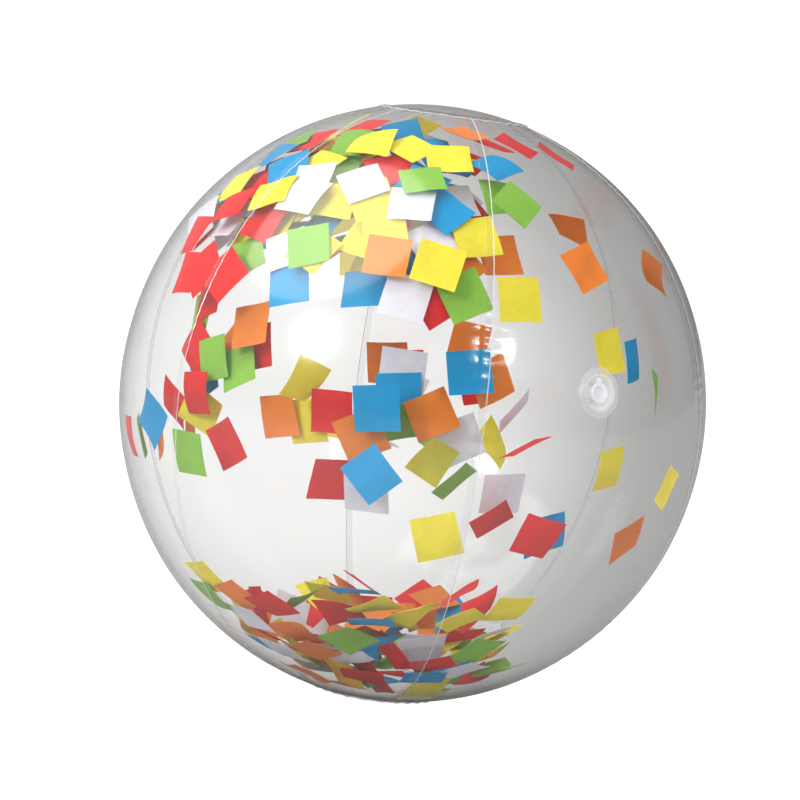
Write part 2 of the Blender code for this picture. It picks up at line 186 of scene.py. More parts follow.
# Camera, as in the photo: degrees, metres and the lens in mm
CAMERA_AZIMUTH = -35.6
CAMERA_ELEVATION = 7.4
CAMERA_ROLL = 8.0
CAMERA_DISTANCE = 1.4
CAMERA_LENS = 104.8
SENSOR_WIDTH = 36.0
BALL_RIGHT = 7.5 * MM
BALL_DOWN = 2.0 * MM

# Lamps: direction along the camera's right, up and back, distance, width and power
LAMPS = {
    "soft_box_left": ((-0.561, 0.365, 0.742), 1.5, 0.34, 11),
    "soft_box_right": ((0.51, 0.291, 0.81), 1.5, 0.2, 2),
    "soft_bank_above": ((-0.38, 0.85, 0.28), 1.6, 1.7, 18),
}

# Room: what the film mirrors (ROOM), what lights the scene (AMBIENT), the backdrop seen straight, and painted
# light and shade on the backdrop where it is seen through the film. SIDEs are directions along the main
# camera's right, up and back. DIM and FAR are how far a direction is from BRIGHT_SIDE, between unit vectors.
ROOM_SIDE = (-0.93, 0.3, -0.2)
ROOM_DARK, ROOM_BRIGHT = 0.1, 0.7
ROOM_EDGE_DARK, ROOM_EDGE_BRIGHT = -0.3, 0.9
AMBIENT_SIDE = (-0.35, 0.6, 0.7)
AMBIENT_DARK, AMBIENT_BRIGHT = 0.5, 1.7
STUDIO_WHITE = (1.0, 0.99, 0.975, 1.0)
BACKDROP_DIRECT = 1.15
# Painted light and shade on the backdrop seen through the film: brighter behind one side of the ball, dim
# around it, bright again far off.
PAINTED_BACKDROP_BRIGHT, PAINTED_BACKDROP_SHADE = 1.2, 0.46
BRIGHT_SIDE = (-0.038, 0.0, -1.0)
DIM_START, DIM_FULL = 0.05, 0.16
FAR_START, FAR_FULL = 0.26, 0.66
FLOOR_RADIUS = 40.0
FLOOR_GREY = (0.42, 0.42, 0.42, 1.0)
# Painted light: the floor's glow where the camera sees it straight, which hides the ball's shadow and the
# horizon.
PAINTED_FLOOR_GLOW = 0.95


def on_ball(polar, heading, depth=0.0):
    """A point of the even ball at that depth."""
    azimuth = heading - pi / 2
    ring = (EQUATOR_RADIUS - depth) * sin(polar)
    return Vector((ring * cos(azimuth), ring * sin(azimuth), (POLE_RADIUS - depth) * cos(polar)))


def valve_frame():
    """The middle of the flat facet behind the valve: X across it, Y up along it and Z out of it."""
    half_polar = asin(VALVE_HALF_FACET / POLE_RADIUS)
    top_polar = pi / 2 - VALVE_LATITUDE - half_polar
    half_heading = asin(VALVE_HALF_FACET / (EQUATOR_RADIUS * sin(top_polar)))
    upper, lower = (
        (on_ball(polar, -half_heading) + on_ball(polar, half_heading)) / 2
        for polar in (top_polar, top_polar + 2 * half_polar)
    )
    across = Vector((1, 0, 0))
    up = (upper - lower).normalized()
    axes = Matrix((across, up, across.cross(up))).transposed()
    return Matrix.Translation((upper + lower) / 2) @ axes.to_4x4()


VALVE_FRAME = valve_frame()


def valve_point(across, depth, height):
    """A point of the valve, from its distances across and up the facet and its depth behind it, in mm."""
    return VALVE_FRAME @ Vector((across * MM, height * MM, -depth * MM))


# Squares
SQUARE_SIDE = 25.0 * MM
SQUARE_THICKNESS = 0.2 * MM
SQUARE_STEPS = 8
WALL_GAP = 1.6 * MM
CURL_RADII = (36, 60, 90, 150, 260)
CUT_SIDES = (0.95, 1.03)
CUT_TAPER = 0.04
CUT_SKEW = 0.03
RIPPLE_HEIGHT = 0.35 * MM
TONES = (0.9, 1.06)
PAPER_SHARP_ANGLE = 60

# The part of the ball that each group of squares keeps to as it turns round +Z, clear of the valve and of
# the other groups. Crown and middle reach further once they are that deep.
CROWN_FLOOR, CROWN_DEEP_FLOOR, CROWN_DEEP = 53 * MM, 73 * MM, 21 * MM
MIDDLE_TOP, MIDDLE_DEEP_TOP, MIDDLE_DEEP = 22 * MM, 68 * MM, 24.5 * MM
MIDDLE_FLOOR, MIDDLE_RADIUS = -71 * MM, 105 * MM
PILE_TOP = -76 * MM

# Listed squares go deeper in steps (mm) until they find room. The rest lie at random: a draw under
# CROWN_PICKS is a try for the crown, under PILE_PICKS for the pile, and over that for the middle.
DEPTH_TRIES = 14
DEPTH_STEP = 1.5
CURL_SEED = 11
SCATTER_SEED = 5
RANDOM_TOTALS = {"confetti_crown": 96, "confetti_pile": 75, "confetti_middle": 8}
CROWN_PICKS = 0.5
PILE_PICKS = 0.93
CROWN_FRONT_SHARE = 0.7
CROWN_CHANCES = {"yellow": 34, "red": 14, "blue": 15, "green": 15, "orange": 10, "white": 14}
PILE_CHANCES = {"yellow": 18, "red": 20, "blue": 15, "green": 18, "orange": 16, "white": 13}

PAPER_COLOURS = {
    "yellow": (0.88, 0.78, 0.055),
    "orange": (0.86, 0.26, 0.03),
    "red": (0.80, 0.022, 0.022),
    "blue": (0.004, 0.35, 0.68),
    "green": (0.28, 0.56, 0.07),
    "white": (0.80, 0.79, 0.85),
}

# Squares beside the CAD's own, by group: colour, heading and latitude in degrees, depth in mm, spin and
# tilt in degrees.
MORE_SQUARES = {
    "confetti_crown": (
        ("yellow", -112, 62, 12, 30, 8),
        ("red", -106, 60, 8, 20, 6),
        ("red", -100, 70, 9, 10, 8),
        ("blue", -110, 52, 5, 15, 4),
        ("blue", -91, 50, 7, 50, 10),
        ("white", -78, 49, 9, 20, 6),
        ("yellow", -109, 43, 6, 30, 5),
        ("red", -103, 46, 11, 35, 8),
        ("orange", -85, 44, 15, 50, 8),
        ("red", -64, 49, 18, 60, 6),
        ("yellow", -55, 46, 6, 35, 8),
        ("red", -58, 59, 16, 40, 10),
        ("red", -51, 45, 14, 30, 5),
        ("yellow", -50, 57, 22, 10, 8),
        ("yellow", -82, 38, 16, 10, 5),
        ("white", -99, 36, 12, 10, 5),
        ("green", -116, 34, 7, 20, 5),
        ("red", -106, 30, 6, 10, 5),
        ("red", -83, 24, 6, 60, 8),
        ("red", -91, 24, 6, 55, 6),
        ("yellow", -44, 43, 20, 25, 5),
        ("blue", -44, 36, 16, 50, 10),
        ("red", -34, 28, 16, 40, 8),
        ("green", -28, 29, 14, 30, 10),
        ("orange", -30, 36, 18, 45, 6),
        ("white", -31, 55, 24, 20, 5),
        ("yellow", -35, 62, 10, 10, 5),
        ("blue", -64, 71, 14, 60, 55),
        ("yellow", -104, 67, 26, 20, 8),
        ("green", -81, 57, 18, 30, 8),
        ("orange", -18, 83, 14, 25, 5),
        ("red", 25, 80, 12, 10, 5),
        ("red", 13, 72, 9, 30, 6),
        ("red", 36, 67, 6, 15, 5),
        ("green", -13, 56, 18, 5, 6),
        ("green", -12, 51, 10, 50, 10),
        ("orange", -16, 43, 30, 10, 8),
        ("orange", 72, 33, 6, 20, 5),
    ),
    "confetti_middle": (
        ("green", -101, 16, 26, 10, 6),
        ("red", -96, 9, 26, 60, 10),
        ("green", -88, 8, 28, 20, 8),
        ("blue", -93, 4, 32, 30, 8),
        ("red", -79, 13, 38, 20, 6),
        ("orange", -86, 12, 42, 60, 30),
        ("red", -90, 0, 24, 10, 8),
        ("yellow", -92, -4, 32, 60, 30),
        ("blue", -95, -6, 6, 60, 5),
        ("yellow", -64, -2, 54, 15, 6),
        ("red", -56, 2, 50, 5, 10),
        ("orange", -47, -2, 44, 30, 8),
        ("blue", -40, 9, 58, 10, 5),
        ("green", -41, 1, 58, 20, 40),
        ("white", -40, 15, 58, 0, 10),
        ("yellow", -62, 8, 38, 65, 72),
        ("red", -110, -12, 4, 5, 5),
        ("green", -114, -13, 12, 20, 5),
        ("blue", -23, 16, 42, 10, 6),
        ("orange", -16, 15, 48, 30, 20),
        ("yellow", -29, -6, 50, 60, 30),
        ("green", -23, -10, 44, 50, 50),
        ("red", -11, 1, 24, 30, 76),
        ("white", -12, 8, 36, 50, 60),
        ("white", -10, -12, 44, 5, 5),
        ("red", -14, -16, 30, 40, 30),
        ("blue", -4, -16, 14, 20, 6),
        ("blue", 34, 20, 34, 5, 8),
        ("green", 39, 12, 27, 75, 6),
        ("white", -44, -15, 40, 5, 5),
        ("white", -22, -1, 58, 30, 6),
        ("yellow", 62, -11, 10, 5, 6),
        ("yellow", 166, -13, 22, 10, 8),
    ),
    "confetti_pile": (
        ("yellow", -85, -37, 6, 20, 10),
        ("green", -90, -43, 6, 10, 6),
        ("orange", -76, -40, 8, 30, 12),
        ("blue", -75, -45, 15, 10, 20),
        ("red", -66, -41, 10, 30, 15),
        ("green", -61, -44, 6, 50, 60),
        ("orange", -61, -49, 12, 20, 8),
        ("orange", -57, -53, 8, 40, 8),
        ("yellow", -56, -48, 22, 0, 10),
        ("blue", -43, -32, 8, 10, 40),
        ("red", -48, -42, 20, 20, 10),
        ("green", -44, -45, 6, 45, 8),
        ("yellow", -38, -37, 14, 30, 30),
        ("blue", -38, -41, 11, 10, 30),
        ("blue", -36, -50, 14, 60, 30),
        ("yellow", -32, -46, 20, 15, 20),
        ("yellow", -29, -37, 12, 50, 30),
        ("orange", -26, -46, 24, 10, 10),
        ("white", -25, -43, 7, 20, 20),
        ("red", -19, -50, 6, 30, 10),
        ("blue", -18, -57, 6, 10, 5),
        ("white", -5, -54, 6, 60, 5),
        ("green", -8, -45, 8, 70, 8),
        ("yellow", -17, -36, 10, 40, 20),
        ("yellow", -4, -35, 15, 0, 10),
        ("red", -7, -41, 12, 65, 60),
        ("red", -17, -35, 24, 50, 50),
        ("green", 14, -56, 8, 10, 8),
        ("orange", -40, -51, 8, 50, 8),
        ("white", -70, -56, 6, 10, 5),
        ("white", -47, -56, 8, 30, 5),
        ("white", -79, -48, 10, 5, 5),
    ),
}


def smooth_step(low, high, value):
    share = np.clip((value - low) / (high - low), 0, 1)
    return share * share * (3 - 2 * share)


# ---- Materials ----


def start_material(name):
    material = bpy.data.materials.new(name)
    material.use_nodes = True
    tree = material.node_tree
    tree.nodes.clear()
    output = tree.nodes.new("ShaderNodeOutputMaterial")
    return material, tree, output


def add_node(tree, kind, settings=None, **inputs):
    """A node with its settings and its inputs, each a constant or another node's output."""
    node = tree.nodes.new(kind)
    for name, value in (settings or {}).items():
        setattr(node, name, value)
    for name, value in inputs.items():
        socket = node.inputs[int(name[1:]) if name[0] == "_" else name.replace("_", " ")]
        if isinstance(value, bpy.types.NodeSocket):
            tree.links.new(value, socket)
        else:
            socket.default_value = value
    return node


def add_math(tree, operation, *values):
    return add_node(
        tree, "ShaderNodeMath", {"operation": operation}, **{f"_{i}": v for i, v in enumerate(values)}
    ).outputs[0]


def add_noise(tree, scale, detail, roughness=0.5):
    """Noise in the piece's own space, in features of about 1 / scale metres."""
    place = add_node(tree, "ShaderNodeTexCoord").outputs["Object"]
    return add_node(
        tree, "ShaderNodeTexNoise", Vector=place, Scale=scale, Detail=detail, Roughness=roughness
    ).outputs[0]


def spread_noise(tree, noise, low, high):
    """Noise from about low to about high."""
    node = add_node(tree, "ShaderNodeMapRange", Value=noise, _1=0.3, _2=0.7, _3=low, _4=high)
    return node.outputs[0]


def film_material(name, haze, grazing_haze, milk, tint, roughness, relief):
    """Clear plastic: reflection that rises at a glancing angle, over a clear body with a little haze."""
    material, tree, output = start_material(name)
    facing = add_node(tree, "ShaderNodeLayerWeight", Blend=0.5).outputs["Facing"]
    gloss = add_math(
        tree, "MULTIPLY_ADD", add_math(tree, "POWER", facing, GLOSS_POWER), GLOSS_RISE, GLOSS_FACE_ON
    )
    smudge = add_noise(tree, SMUDGE_SCALE, 4.0, 0.6)
    bump = add_node(
        tree, "ShaderNodeBump", Strength=0.35, Distance=relief, Height=add_noise(tree, RELIEF_SCALE, 2.0)
    ).outputs[0]
    cloud = add_math(
        tree,
        "MULTIPLY",
        add_math(tree, "MULTIPLY_ADD", add_math(tree, "POWER", facing, HAZE_POWER), grazing_haze, haze),
        spread_noise(tree, smudge, 0.8, 1.2),
    )
    clear = add_node(tree, "ShaderNodeBsdfTransparent", Color=(*tint, 1.0))
    milky = add_node(tree, "ShaderNodeBsdfDiffuse", Color=(milk, milk, milk, 1.0))
    body = add_node(
        tree, "ShaderNodeMixShader", Fac=cloud, _1=clear.outputs[0], _2=milky.outputs[0]
    )
    mirror = add_node(
        tree,
        "ShaderNodeBsdfGlossy",
        Color=(1.0, 1.0, 1.0, 1.0),
        Roughness=spread_noise(tree, smudge, roughness * 0.8, roughness * 1.25),
        Normal=bump,
    )
    surface = add_node(
        tree, "ShaderNodeMixShader", Fac=gloss, _1=body.outputs[0], _2=mirror.outputs[0]
    )
    tree.links.new(surface.outputs[0], output.inputs["Surface"])
    return material


def paper_material(name, colour):
    """Thin dyed paper: matt and fibrous, a little light coming through, each square of its own tone."""
    material, tree, output = start_material(name)
    fibre = add_noise(tree, FIBRE_SCALE, 5.0, 0.65)
    cloud = add_noise(tree, DYE_SCALE, 2.0)
    tone = add_node(tree, "ShaderNodeAttribute", {"attribute_name": "tone"}).outputs["Fac"]
    shade = add_math(
        tree,
        "MULTIPLY",
        add_math(
            tree, "MULTIPLY", spread_noise(tree, fibre, 0.93, 1.05), spread_noise(tree, cloud, 0.95, 1.05)
        ),
        tone,
    )
    pigment = add_node(
        tree,
        "ShaderNodeVectorMath",
        {"operation": "SCALE"},
        _0=colour,
        Scale=shade,
    ).outputs[0]
    bump = add_node(tree, "ShaderNodeBump", Strength=0.5, Distance=0.15 * MM, Height=fibre).outputs[0]
    front = add_node(
        tree,
        "ShaderNodeBsdfPrincipled",
        Base_Color=pigment,
        Roughness=spread_noise(tree, fibre, 0.62, 0.85),
        Specular_IOR_Level=0.15,
        Sheen_Weight=0.04,
        Normal=bump,
    )
    glow = add_node(tree, "ShaderNodeBsdfTranslucent", Color=pigment, Normal=bump)
    surface = add_node(
        tree, "ShaderNodeMixShader", Fac=PAPER_GLOW, _1=front.outputs[0], _2=glow.outputs[0]
    )
    tree.links.new(surface.outputs[0], output.inputs["Surface"])
    return material


# ---- Meshes ----


def link_object(name, mesh, materials, smooth_angle=None):
    if smooth_angle is not None:
        mesh.shade_smooth()
        mesh.set_sharp_from_angle(angle=radians(smooth_angle))
    made = bpy.data.objects.new(name, mesh)
    bpy.context.scene.collection.objects.link(made)
    for material in materials:
        mesh.materials.append(material)
    return made


def shell_mesh(name, outside, inside, finishes, closed=False):
    """A closed shell from two grids of points, rows first. finishes gives a material index for each column
    of faces. Where closed is true the columns join up all the way round, finishes goes by rows, and a flat
    face shuts each skin at the first row."""
    rows, columns = outside.shape[:2]
    count = rows * columns
    points = np.concatenate([outside.reshape(-1, 3), inside.reshape(-1, 3)])
    faces, slots = [], []

    def add(a, b, c, d, slot):
        faces.append((a, b, c, d))
        slots.append(slot)

    last = columns if closed else columns - 1
    for i in range(rows - 1):
        for j in range(last):
            k = (j + 1) % columns
            slot = finishes[i] if closed else finishes[j]
            a, b, c, d = i * columns + j, i * columns + k, (i + 1) * columns + k, (i + 1) * columns + j
            add(d, c, b, a, slot)
            add(count + a, count + b, count + c, count + d, slot)
    for i, flip in ((0, False), (rows - 1, True)):
        if closed and i == 0:
            continue
        for j in range(last):
            k = (j + 1) % columns
            a, b = i * columns + j, i * columns + k
            corners = (a, b, count + b, count + a)
            slot = finishes[i - 1] if closed else finishes[j]
            add(*(corners[::-1] if flip else corners), slot)
    if not closed:
        for j, flip in ((0, True), (columns - 1, False)):
            for i in range(rows - 1):
                a, b = i * columns + j, (i + 1) * columns + j
                corners = (a, b, count + b, count + a)
                add(*(corners[::-1] if flip else corners), finishes[min(j, columns - 2)])
    mesh = bpy.data.meshes.new(name)
    if closed:
        faces += [tuple(range(columns)), tuple(range(count + columns - 1, count - 1, -1))]
        slots += [finishes[0]] * 2
    mesh.from_pydata(points.tolist(), [], faces)
    mesh.polygons.foreach_set("material_index", slots)
    mesh.update()
    return mesh


def face_outwards(mesh):
    shape = bmesh.new()
    shape.from_mesh(mesh)
    bmesh.ops.recalc_face_normals(shape, faces=shape.faces)
    shape.to_mesh(mesh)
    shape.free()


# ---- Film ----


def film_relief(polar, heading):
    """How far the film stands out from the even ball: tucked in and puckered at its welds. The waves' own
    lengths don't fit into one another, so no two stretches of a weld look alike."""
    ring = EQUATOR_RADIUS * np.sin(polar)
    turn = heading - VALVE_ASIDE - GORE_TURN / 2
    seam = np.round(turn / GORE_TURN)
    across = (turn - seam * GORE_TURN) * ring
    along = polar * EQUATOR_RADIUS
    seam = np.mod(seam, GORES)
    strength = 0.6 + 0.4 * np.sin(along / (31 * MM) + 2.1 * seam) * np.sin(along / (17 * MM) + seam)
    wave = np.sin(tau * along / PUCKER_LENGTH + 1.6 * np.sin(along / (19 * MM) + 1.7 * seam))
    skew = 1 + 0.25 * np.sin(along / (9 * MM) + seam)
    pucker = PUCKER_HEIGHT * strength * wave * np.exp(-((across / (PUCKER_REACH * skew)) ** 2))
    tuck = -SEAM_TUCK * np.exp(-((across / TUCK_REACH) ** 2))
    from_cap = (np.minimum(polar, pi - polar) - CAP_EDGE_POLAR) * EQUATOR_RADIUS
    past_cap = smooth_step(0, PAST_CAP, from_cap)
    cap_wave = np.sin(CAP_PUCKERS * heading + 1.4 * np.sin(5 * heading))
    cap_strength = 0.7 + 0.3 * np.sin(4 * heading + 1)
    cap_pucker = PUCKER_HEIGHT * cap_wave * cap_strength * np.exp(-((from_cap / CAP_PUCKER_REACH) ** 2))
    swell = SWELL_HEIGHT * (
        np.sin(3 * heading + 4 * polar) * np.sin(5 * polar + 0.6)
        + SWELL_TWO * np.sin(7 * heading - 6 * polar + 1.1) * np.sin(polar)
    )
    return (pucker + tuck) * past_cap + cap_pucker + swell * np.sin(polar)


def film_points(polar, heading, lift):
    """Points of the film, lifted outwards by lift: flat behind the valve and where the ball rests."""
    polar, heading, lift = np.broadcast_arrays(polar, heading, lift)
    azimuth = heading - pi / 2
    push = film_relief(polar, heading) + lift
    ring = (EQUATOR_RADIUS + push) * np.sin(polar)
    points = np.stack(
        [ring * np.cos(azimuth), ring * np.sin(azimuth), (POLE_RADIUS + push) * np.cos(polar)], axis=-1
    )
    from_facet = placed(points, VALVE_FRAME.inverted())
    from_axis = np.hypot(from_facet[..., 0], from_facet[..., 1])
    flat = (1 - smooth_step(VALVE_FLAT_RADIUS, VALVE_BLEND_RADIUS, from_axis)) * (points[..., 1] < 0)
    from_facet[..., 2] += flat * (lift - from_facet[..., 2])
    points = placed(from_facet, VALVE_FRAME)
    points[..., 2] = np.maximum(points[..., 2], FLOOR_HEIGHT + np.maximum(-lift, 0))
    return points


def gore_columns(polar):
    """One gore's columns from its left edge to its right edge, which laps over the next gore's left edge:
    their headings at each row, their lifts and the heights of their beads."""
    ring = EQUATOR_RADIUS * np.sin(polar)[:, None]
    width = ring * GORE_TURN
    half_lap = LAP_WIDTH / 2
    room = np.minimum(1.0, (width / 2 - half_lap) * 0.8 / (SEAM_OFFSETS[-1] - half_lap))
    offsets = np.where(SEAM_OFFSETS > half_lap, half_lap + (SEAM_OFFSETS - half_lap) * room, SEAM_OFFSETS)
    steps = np.arange(1, GORE_MIDDLE_COLUMNS) / GORE_MIDDLE_COLUMNS
    middle = offsets[:, -1:] + (width - 2 * offsets[:, -1:]) * steps
    places = np.concatenate([offsets, middle, width - offsets[:, ::-1]], axis=1)
    lifts = np.zeros(places.shape[1])
    lifts[-len(SEAM_OFFSETS) :] = LAP_STEP * (SEAM_OFFSETS[::-1] < half_lap + NEAR)
    beads = np.zeros(places.shape[1])
    beads[[1, -2]] = BEAD_HEIGHT
    return places / ring + VALVE_ASIDE - GORE_TURN / 2, lifts, beads


def make_gore(number, materials):
    turn = number * GORE_TURN
    polar = np.linspace(GORE_END_POLAR, pi - GORE_END_POLAR, GORE_ROWS)
    headings, lifts, beads = gore_columns(polar)
    outside = film_points(polar[:, None], headings + turn, lifts + beads)
    inside = film_points(polar[:, None], headings + turn, lifts - FILM)
    finishes = [FILM_SLOT] * (len(lifts) - 1)
    finishes[:2] = [WELD_SLOT] * 2
    finishes[-5:] = [WELD_SLOT] * 3 + [BEAD_SLOT] * 2
    node = f"panel_{number + 1}"
    mesh = shell_mesh(f"film_{node}", outside, inside, finishes)
    face_outwards(mesh)
    gore = link_object(f"film_{node}", mesh, materials)
    if number == 0:
        cut_valve_hole(gore)
    gore.data.shade_smooth()
    gore.data.set_sharp_from_angle(angle=radians(SHARP_ANGLE))
    finish_piece(gore, "ball_skin", "clear_film", node)


def cut_valve_hole(gore):
    shape = bmesh.new()
    bmesh.ops.create_cone(
        shape,
        cap_ends=True,
        segments=VALVE_SEGMENTS,
        radius1=FILM_HOLE_RADIUS,
        radius2=FILM_HOLE_RADIUS,
        depth=2 * FLANGE_RADIUS,
        matrix=VALVE_FRAME,
    )
    mesh = bpy.data.meshes.new("valve_hole")
    shape.to_mesh(mesh)
    shape.free()
    cutter = link_object("valve_hole", mesh, [])
    cut = gore.modifiers.new("valve_hole", "BOOLEAN")
    cut.operation = "DIFFERENCE"
    cut.solver = "EXACT"
    cut.object = cutter
    bpy.context.view_layer.update()
    cut_mesh = bpy.data.meshes.new_from_object(gore.evaluated_get(bpy.context.evaluated_depsgraph_get()))
    gore.modifiers.clear()
    gore.data = cut_mesh
    bpy.data.objects.remove(cutter)


def make_cap(node, materials):
    flat = CAP_RADIUS - LAP_WIDTH - LAP_RAMP
    inner = np.linspace(1.0 * MM, flat, CAP_MIDDLE_RINGS)
    rings = np.concatenate([inner, CAP_EDGE_RINGS])
    polar = np.arcsin(rings / EQUATOR_RADIUS)[:, None]
    lifts = np.where(rings > flat + NEAR, CAP_LAP_LIFT, 0.0)[:, None]
    bead = np.where(np.abs(rings - CAP_BEAD_RING) < NEAR, BEAD_HEIGHT, 0.0)[:, None]
    heading = np.linspace(0, tau, CAP_COLUMNS, endpoint=False)[None, :]
    if node == "bottom_cap":
        polar = pi - polar
    outside = film_points(polar, heading, lifts + bead)
    inside = film_points(polar, heading, lifts - FILM)
    finishes = [FILM_SLOT] * CAP_MIDDLE_RINGS + [WELD_SLOT] * 4 + [BEAD_SLOT] * 2
    mesh = shell_mesh(f"film_{node}", outside, inside, finishes, closed=True)
    face_outwards(mesh)
    cap = link_object(f"film_{node}", mesh, materials, SHARP_ANGLE)
    finish_piece(cap, "ball_skin", "clear_film", node)


def finish_piece(piece, body, slot, *nodes):
    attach(piece, body)
    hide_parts(*nodes)


# ---- Valve ----


def turned_mesh(name, profile):
    """A solid turned about the valve's axis from (radius, depth) points in mm."""
    shape = bmesh.new()
    turns = [i * tau / VALVE_SEGMENTS for i in range(VALVE_SEGMENTS)]
    rows = []
    for radius, depth in profile:
        around = turns if radius > 0 else turns[:1]
        rows.append(
            [
                shape.verts.new(valve_point(radius * cos(t), depth, radius * sin(t)))
                for t in around
            ]
        )
    pairs = list(zip(rows, rows[1:]))
    if profile[0][0] > 0:
        pairs.append((rows[-1], rows[0]))
    for first, second in pairs:
        for i in range(VALVE_SEGMENTS):
            corners = []
            for row, place in ((first, i - 1), (first, i), (second, i), (second, i - 1)):
                corner = row[place] if len(row) > 1 else row[0]
                if corner not in corners:
                    corners.append(corner)
            shape.faces.new(corners)
    bmesh.ops.recalc_face_normals(shape, faces=shape.faces)
    mesh = bpy.data.meshes.new(name)
    shape.to_mesh(mesh)
    shape.free()
    return mesh


def slab_mesh(name, outline, width):
    """A strip of constant width across the valve, from its outline of (height, depth) points in mm."""
    shape = bmesh.new()
    sides = [
        [shape.verts.new(valve_point(across, depth, height)) for height, depth in outline]
        for across in (-width / 2, width / 2)
    ]
    for side in sides:
        shape.faces.new(side)
    for i in range(len(outline)):
        shape.faces.new((sides[0][i - 1], sides[0][i], sides[1][i], sides[1][i - 1]))
    bmesh.ops.recalc_face_normals(shape, faces=shape.faces)
    mesh = bpy.data.meshes.new(name)
    shape.to_mesh(mesh)
    shape.free()
    return mesh


def round_edges(piece, width):
    bevel = piece.modifiers.new("rounded", "BEVEL")
    bevel.width = width
    bevel.segments = 3
    bevel.limit_method = "ANGLE"
    bevel.angle_limit = radians(SHARP_ANGLE)
    bevel.harden_normals = False


def arc(radius, depth, size, start, end, steps=6):
    """(radius, depth) points of a small round, in mm and degrees."""
    turns = [radians(start + (end - start) * i / steps) for i in range(steps + 1)]
    return [(radius + size * cos(turn), depth + size * sin(turn)) for turn in turns]


def make_valve(material):
    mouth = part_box("valve_sleeve")[1].x / MM + MOUTH_ROOM
    rim = RIM_DEPTH
    end = rim + STEM_LENGTH
    flange = FLANGE_RADIUS / MM
    pieces = []

    profile = [(mouth, 0.56), (flange - 0.3, 0.56), (flange, 0.8), (flange - 0.4, 1.3)]
    for groove in FLANGE_GROOVES:
        profile += [(groove + 0.25, 1.33), (groove, 1.12), (groove - 0.25, 1.33)]
    profile += [(mouth + 0.2, 1.35), (mouth, 1.15)]
    pieces.append(("moulded_flange", turned_mesh("moulded_flange", profile), "ball_skin", "valve_flange"))

    outside = []
    for i in range(SLEEVE_STEPS + 1):
        share = i / SLEEVE_STEPS
        ease = share * share * (3 - 2 * share)
        fold = SLEEVE_FOLD * sin(share * pi * 7) * sin(share * pi)
        radius = mouth - MOUTH_ROOM + (SLEEVE_END_RADIUS - mouth) * ease + fold
        outside.append((radius, SLEEVE_START + SLEEVE_LENGTH * share))
    sleeve = outside + [(radius - SLEEVE_WALL, depth) for radius, depth in outside[::-1]]
    pieces.append(("moulded_sleeve", turned_mesh("moulded_sleeve", sleeve), "sleeve", "valve_sleeve"))

    stem = [(STEM_BORE, end), (STEM_BORE, rim + 0.4), (3.95, rim + 0.05), (4.4, rim)]
    stem += arc(4.75, rim + 0.35, 0.35, -90, 60)
    stem += [(STEM_OUTSIDE, rim + 1.1), (STEM_OUTSIDE, end - 0.3), (4.4, end)]
    pieces.append(("moulded_stem", turned_mesh("moulded_stem", stem), "stem", "valve_stem"))

    back = rim - 0.3
    plug = [(0.0, back - 0.9), (2.6, back - 0.88), (3.1, back - 1.0), (3.5, back - 1.2)]
    plug += arc(5.1, back - 0.8, 0.4, -90, 0) + [(5.5, back - 0.15), (5.35, back), (3.45, back)]
    plug += [(3.35, back + 0.2), (3.4, back + 1.2), (3.3, back + 1.6)]
    plug += [(2.95, back + 3.6), (2.75, back + 3.9)]
    plug += [(2.2, back + 3.9), (2.1, back + 3.7), (2.1, back + 0.35), (1.9, back + 0.3), (0.0, back + 0.3)]
    pieces.append(("moulded_plug", turned_mesh("moulded_plug", plug), "plug", "valve_plug"))

    flap = [(0.0, end + 0.32), (4.0, end + 0.32), (FLAP_RADIUS, end + 0.45)]
    flap += [(FLAP_RADIUS, end + 0.65), (4.0, end + 0.8), (0.0, end + 0.8)]
    pieces.append(("moulded_flap", turned_mesh("moulded_flap", flap), "check_flap", "valve_flap"))

    for name, mesh, body, node in pieces:
        piece = link_object(name, mesh, [material], SHARP_ANGLE)
        if name in ("moulded_flange", "moulded_flap"):
            round_edges(piece, 0.08 * MM)
        if body == "sleeve":
            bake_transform(piece)
            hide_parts(node)
        else:
            finish_piece(piece, body, "clear_valve", node)

    lug = [(4.3, rim + 0.35), (6.7, rim + 0.35), (6.7, rim + 1.0), (5.6, rim + 1.5), (4.3, rim + 2.0)]
    lug_mesh = slab_mesh("moulded_lug", lug, STRAP_WIDTH)
    lug_piece = link_object("moulded_lug", lug_mesh, [material], SHARP_ANGLE)
    round_edges(lug_piece, 0.12 * MM)
    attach(lug_piece, "stem")

    hinge, eye_radius = HINGE_HEIGHT, HINGE_RADIUS
    turns = [radians(-90 + 15 * i) for i in range(13)]
    eye = [(hinge + eye_radius * cos(turn), rim + eye_radius * sin(turn)) for turn in turns]
    strap = [(STRAP_START, rim - 1.2), (hinge - 0.6, rim - 1.2), (hinge, rim - 0.6 - 0.3)] + eye
    strap += [(hinge - 0.6, rim + 0.3), (hinge - 0.6, rim - 0.6), (STRAP_START, rim - 0.6)]
    strap_mesh = slab_mesh("moulded_strap", strap, STRAP_WIDTH)
    strap_piece = link_object("moulded_strap", strap_mesh, [material], SHARP_ANGLE)
    round_edges(strap_piece, 0.1 * MM)
    finish_piece(strap_piece, "plug", "clear_valve", "valve_strap")


# ---- Squares ----


def square_pose(heading, latitude, depth, spin, tilt):
    """Where a square lies: facing out from the ball's centre, turned by its spin, then tilted."""
    azimuth = radians(heading) - pi / 2
    up = radians(latitude)
    outward = Vector((cos(up) * cos(azimuth), cos(up) * sin(azimuth), sin(up)))
    east = Vector((-sin(azimuth), cos(azimuth), 0.0))
    north = outward.cross(east)
    facing = Matrix((east, north, outward)).transposed().to_4x4()
    place = on_ball(pi / 2 - up, radians(heading), depth * MM)
    turned = Matrix.Rotation(radians(spin), 4, "Z") @ Matrix.Rotation(radians(tilt), 4, "X")
    return Matrix.Translation(place) @ facing @ turned


